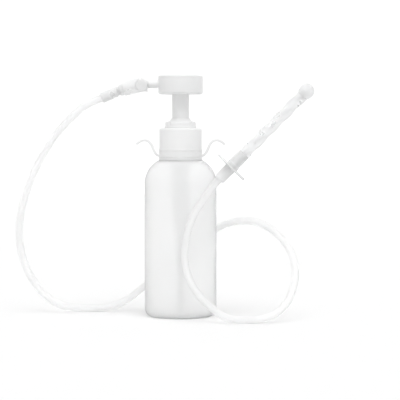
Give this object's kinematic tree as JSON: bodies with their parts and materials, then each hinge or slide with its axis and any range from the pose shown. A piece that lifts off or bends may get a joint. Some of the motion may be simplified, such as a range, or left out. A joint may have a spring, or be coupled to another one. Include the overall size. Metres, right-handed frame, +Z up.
{
  "type": "douche bottle",
  "caption": "Frosted plastic wash bottle with a hook ring, screw cap and press pump, whose spout feeds a long soft hose and a clear twisted nozzle with a thin stop disc.",
  "frame": {"origin": "centre of the foot ring that the bottle stands on", "axes": "+Z up along the bottle and the pump; the spout points along -X; the nozzle lies in front, towards -Y, and points up towards +X"},
  "size_m": [0.2493, 0.105, 0.2014],
  "materials": {
    "frosted_plastic": "frosted, see-through enough to show the pump as a shadow",
    "white_plastic": "satin",
    "natural_plastic": "satin, milky",
    "clear_plastic": "glossy, clear",
    "milky_tube": "soft, milky and translucent",
    "grey_seal": "matt",
    "steel": "bright"
  },
  "bodies": {
    "bottle": {"bottle_base": "frosted_plastic", "bottle_wall": "frosted_plastic", "bottle_shoulder": "frosted_plastic", "bottle_neck": "frosted_plastic"},
    "hook_ring": {"hook_ring": "white_plastic"},
    "pump_frame": {"cap_gasket": "grey_seal", "pump_collar": "white_plastic", "wiper_seal": "grey_seal", "pump_cylinder": "natural_plastic", "ball_retainer": "natural_plastic", "return_spring": "steel", "dip_tube": "natural_plastic", "hose": "milky_tube", "hose_low_end": "milky_tube", "nozzle_cuff": "clear_plastic", "barb_fitting": "clear_plastic", "base_seal": "grey_seal"},
    "cap": {"screw_cap": "white_plastic"},
    "plunger": {"stem": "white_plastic", "piston_rod": "natural_plastic", "piston_seal": "grey_seal", "head_shell": "white_plastic", "head_cover": "white_plastic", "spout_seal": "grey_seal", "valve_body": "clear_plastic", "hose_barb": "clear_plastic", "hose_sleeve": "clear_plastic", "hose_top_end": "milky_tube"},
    "inlet_ball": {"inlet_ball": "steel"},
    "outlet_ball": {"outlet_ball": "steel"},
    "valve_key": {"valve_key": "clear_plastic", "key_cap": "clear_plastic"},
    "nozzle_grip": {"flange_disc": "clear_plastic", "nozzle_base": "clear_plastic"},
    "nozzle": {"nozzle_shaft": "clear_plastic", "nozzle_tip": "clear_plastic"}
  },
  "joints": [
    {"name": "hook_ring_turn", "type": "hinge", "parent": "bottle", "child": "hook_ring", "pos_m": [0, 0, 0.1358], "axis": [0, 0, 1], "continuous": true},
    {"name": "pump_rise", "type": "slide", "parent": "bottle", "child": "pump_frame", "axis": [0, 0, 1], "range_m": [0, 0.0064]},
    {"name": "cap_turn", "type": "hinge", "parent": "pump_frame", "child": "cap", "pos_m": [0, 0, 0.1477], "axis": [0, 0, 1], "range_deg": [0, 720]},
    {"name": "pump_press", "type": "slide", "parent": "pump_frame", "child": "plunger", "axis": [0, 0, -1], "range_m": [0, 0.019], "stiffness_N_per_m": 260, "springref_m": -0.02, "deforming": ["return_spring", "hose"]},
    {"name": "inlet_ball_lift", "type": "slide", "parent": "pump_frame", "child": "inlet_ball", "axis": [0, 0, 1], "range_m": [0, 0.002]},
    {"name": "outlet_ball_lift", "type": "slide", "parent": "plunger", "child": "outlet_ball", "axis": [0, 0, 1], "range_m": [0, 0.002]},
    {"name": "valve_turn", "type": "hinge", "parent": "plunger", "child": "valve_key", "pos_m": [-0.0323, 0, 0.1934], "axis": [0, 1, 0], "range_deg": [0, 90]},
    {"name": "nozzle_turn", "type": "hinge", "parent": "pump_frame", "child": "nozzle_grip", "pos_m": [0.0412, -0.035, 0.1256], "axis": [0.7046, 0, 0.7096], "continuous": true},
    {"name": "nozzle_pull", "type": "slide", "parent": "nozzle_grip", "child": "nozzle", "axis": [0.7046, 0, 0.7096], "range_m": [0, 0.01]}
  ],
  "couplings": [
    {"joint": "cap_turn", "follows": "pump_rise", "rad_per_m": 1963.5}
  ]
}
